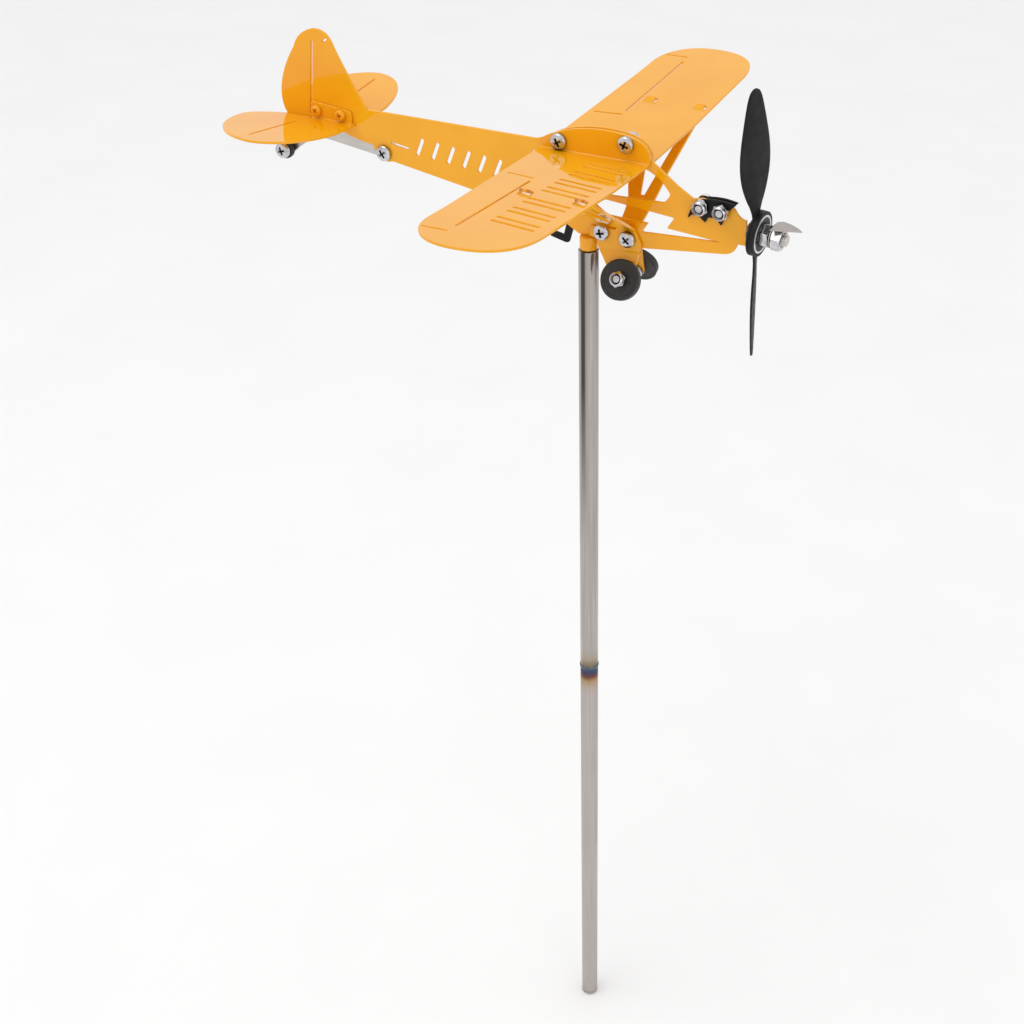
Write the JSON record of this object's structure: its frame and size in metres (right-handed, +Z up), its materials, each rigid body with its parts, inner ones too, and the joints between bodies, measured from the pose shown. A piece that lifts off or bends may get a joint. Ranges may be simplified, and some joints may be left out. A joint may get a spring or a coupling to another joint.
{
  "type": "whirligig",
  "caption": "Painted sheet-metal aeroplane wind spinner that swivels on a slim steel pole, with a free-turning propeller and rolling wheels.",
  "frame": {"origin": "centre of the flat foot of the pole", "axes": "+Z up along the pole, +X towards the propeller, +Y to the aeroplane's left"},
  "size_m": [0.2909, 0.28, 0.6257],
  "materials": {
    "orange_paint": "gloss orange-yellow paint on steel sheet",
    "black_paint": "satin black paint on steel sheet",
    "seal_rubber": "matte black bearing seal",
    "wheel_black": "matte black moulded disc",
    "bare_steel": "satin bare stainless steel, heat-tinted at the weld",
    "bronze_bush": "turned bearing bronze",
    "bright_steel": "bright plated steel"
  },
  "bodies": {
    "pole": {"pole_end_cap": "bare_steel", "pole_lower_tube": "bare_steel", "pole_joint_spigot": "bare_steel", "pole_weld_bead": "bare_steel", "pole_upper_tube": "bare_steel", "pivot_bush": "bronze_bush"},
    "propeller": {"propeller_blades": "black_paint", "propeller_hub": "black_paint", "bearing_outer_ring": "bright_steel", "bearing_rear_seal": "seal_rubber", "bearing_front_seal": "seal_rubber"},
    "left_main_wheel": {"left_wheel": "wheel_black"},
    "right_main_wheel": {"right_wheel": "wheel_black"},
    "tail_roller": {"tail_wheel": "wheel_black"},
    "aeroplane": {"swivel_collar": "orange_paint", "fuselage_plate": "orange_paint", "left_wing": "orange_paint", "right_wing": "orange_paint", "left_brace": "orange_paint", "right_brace": "orange_paint", "left_stabilizer": "orange_paint", "right_stabilizer": "orange_paint", "stabilizer_rear_screw": "orange_paint", "stabilizer_front_screw": "orange_paint", "boarding_step": "black_paint", "left_engine_plate": "black_paint", "right_engine_plate": "black_paint", "pivot_pin": "bare_steel", "tail_strip": "bare_steel", "propeller_shaft": "bare_steel", "shaft_spacer": "bare_steel", "tab_washer": "bare_steel", "bearing_inner_ring": "bright_steel", "inner_shaft_nut": "bright_steel", "outer_shaft_nut": "bright_steel", "left_axle_bolt": "bright_steel", "left_axle_nut": "bright_steel", "right_axle_bolt": "bright_steel", "right_axle_nut": "bright_steel", "tail_wheel_screw": "bright_steel", "tail_wheel_nut": "bright_steel", "tail_strip_screw": "bright_steel", "tail_strip_nut": "bright_steel", "wing_rear_screw": "bright_steel", "wing_rear_nut": "bright_steel", "wing_front_screw": "bright_steel", "wing_front_nut": "bright_steel", "brace_rear_screw": "bright_steel", "brace_rear_nut": "bright_steel", "brace_front_screw": "bright_steel", "brace_front_nut": "bright_steel", "stabilizer_rear_nut": "bright_steel", "stabilizer_front_nut": "bright_steel", "engine_rear_screw": "bright_steel", "engine_rear_nut": "bright_steel", "engine_front_screw": "bright_steel", "engine_front_nut": "bright_steel"}
  },
  "joints": [
    {"name": "swivel", "type": "hinge", "parent": "pole", "child": "aeroplane", "pos_m": [0, 0, 0.53], "axis": [0, 0, 1], "continuous": true},
    {"name": "propeller_spin", "type": "hinge", "parent": "aeroplane", "child": "propeller", "pos_m": [0.0804, 0, 0.5544], "axis": [0.9956, -0.0696, -0.0628], "continuous": true},
    {"name": "left_wheel_spin", "type": "hinge", "parent": "aeroplane", "child": "left_main_wheel", "pos_m": [0.0217, 0.00687, 0.52087], "axis": [0, 0.8988, 0.4384], "continuous": true},
    {"name": "right_wheel_spin", "type": "hinge", "parent": "aeroplane", "child": "right_main_wheel", "pos_m": [0.0217, -0.00687, 0.52087], "axis": [0, -0.8988, 0.4384], "continuous": true},
    {"name": "tail_wheel_spin", "type": "hinge", "parent": "aeroplane", "child": "tail_roller", "pos_m": [-0.1712, 0, 0.5531], "axis": [0, 1, 0], "continuous": true}
  ]
}
